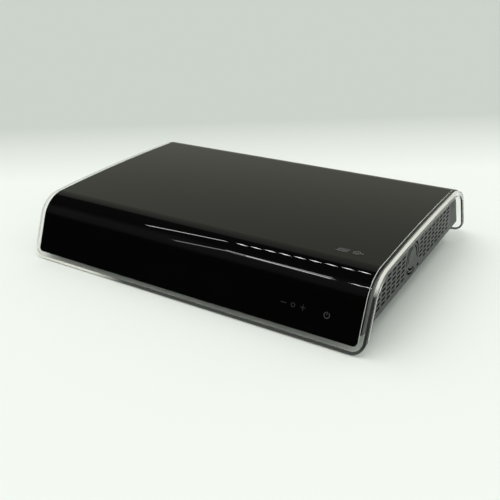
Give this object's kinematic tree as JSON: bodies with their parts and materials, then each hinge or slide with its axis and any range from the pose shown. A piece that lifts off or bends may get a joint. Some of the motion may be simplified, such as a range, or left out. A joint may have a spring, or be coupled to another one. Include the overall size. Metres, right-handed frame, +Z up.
{
  "type": "television set-top box",
  "caption": "Low set-top box: clear bent cover with a gloss black panel over a slotted grey body, with rear sockets, fan, hard disk and boards inside.",
  "frame": {"origin": "on the floor under the middle of the box", "axes": "+X to the right seen from the front, +Y to the back, +Z up"},
  "size_m": [0.351, 0.2598, 0.0593],
  "materials": {
    "clear_acrylic": "clear polished acrylic with a faint warm-grey edge",
    "silver_strip": "bright silvered strip on the bevel",
    "gloss_black": "deep gloss black with a violet cast",
    "black_rubber": "matt black rubber",
    "grey_panel": "satin mid grey",
    "dark_shroud": "matt dark grey",
    "galvanised_sheet": "zinc-plated steel sheet",
    "black_steel": "matt black paint",
    "screw_steel": "plated steel",
    "black_plastic": "moulded black plastic",
    "switch_black": "black rocker with a moulded mark",
    "brass_metal": "bright brass",
    "nickel": "nickel plate",
    "tin_plate": "tin plate",
    "socket_core": "moulded insulator",
    "green_board": "green solder mask",
    "chip_black": "moulded black epoxy",
    "heat_sink_aluminium": "bare cast and extruded aluminium",
    "disk_lid_steel": "bright pressed steel",
    "plug_cream": "natural nylon",
    "ferrite": "dark ferrite",
    "winding_tape": "yellow winding tape",
    "capacitor_sleeve": "dark blue sleeve",
    "fuse_glass": "clear glass tube",
    "wire_red": "soft red sleeving",
    "ribbon_grey": "light grey ribbon",
    "display_glass": "dark display window",
    "copper_pad": "copper touch pads",
    "light_lens": "tinted lens"
  },
  "bodies": {
    "chassis": {"clear_cover": "clear_acrylic", "edge_trim": "silver_strip", "gloss_panel": "gloss_black", "cover_foot_strips": "black_rubber", "left_side_panel": "grey_panel", "right_side_panel": "grey_panel", "inner_shroud": "dark_shroud", "base_tray": "galvanised_sheet", "rubber_feet": "black_rubber", "rear_panel": "black_steel", "case_screws": "screw_steel", "mains_inlet": "black_plastic", "mains_contacts": "brass_metal", "rocker_frame": "black_plastic", "rocker_pin": "screw_steel", "reset_switch": "black_plastic", "scart_socket": "black_plastic", "hdmi_socket": "nickel", "network_socket": "tin_plate", "usb_socket": "nickel", "optical_socket": "black_plastic", "audio_block": "black_plastic", "audio_barrels": "nickel", "audio_cores": "socket_core", "tuner_cans": "tin_plate", "aerial_sockets": "nickel", "aerial_cores": "socket_core", "card_reader": "black_plastic", "main_board": "green_board", "board_standoffs": "disk_lid_steel", "board_screws": "screw_steel", "main_chips": "chip_black", "heat_sinks": "heat_sink_aluminium", "board_plugs": "plug_cream", "power_supply_board": "green_board", "transformer": "ferrite", "transformer_winding": "winding_tape", "capacitors": "capacitor_sleeve", "mains_fuse": "fuse_glass", "fuse_caps": "brass_metal", "power_wires": "wire_red", "hard_disk_body": "heat_sink_aluminium", "hard_disk_lid": "disk_lid_steel", "hard_disk_board": "green_board", "disk_connectors": "black_plastic", "disk_cradle": "galvanised_sheet", "disk_grommets": "black_rubber", "disk_screws": "screw_steel", "disk_cables": "wire_red", "front_board": "green_board", "display_module": "display_glass", "touch_pads": "copper_pad", "infrared_receiver": "chip_black", "status_light": "light_lens", "front_ribbon": "ribbon_grey", "fan_frame": "black_plastic"},
    "fan": {"fan_rotor": "black_plastic"},
    "rocker": {"power_rocker": "switch_black"},
    "reset": {"reset_button": "black_plastic"}
  },
  "joints": [
    {"name": "fan_spin", "type": "hinge", "parent": "chassis", "child": "fan", "pos_m": [0.1618, -0.0147, 0.0317], "axis": [1, 0, 0], "continuous": true},
    {"name": "rocker_tilt", "type": "hinge", "parent": "chassis", "child": "rocker", "pos_m": [0.094, 0.1015, 0.0312], "axis": [1, 0, 0], "range_deg": [0, 16]},
    {"name": "reset_press", "type": "slide", "parent": "chassis", "child": "reset", "axis": [0, -1, 0], "range_m": [0, 0.0008], "stiffness_N_per_m": 1200, "springref_m": -0.0008}
  ]
}
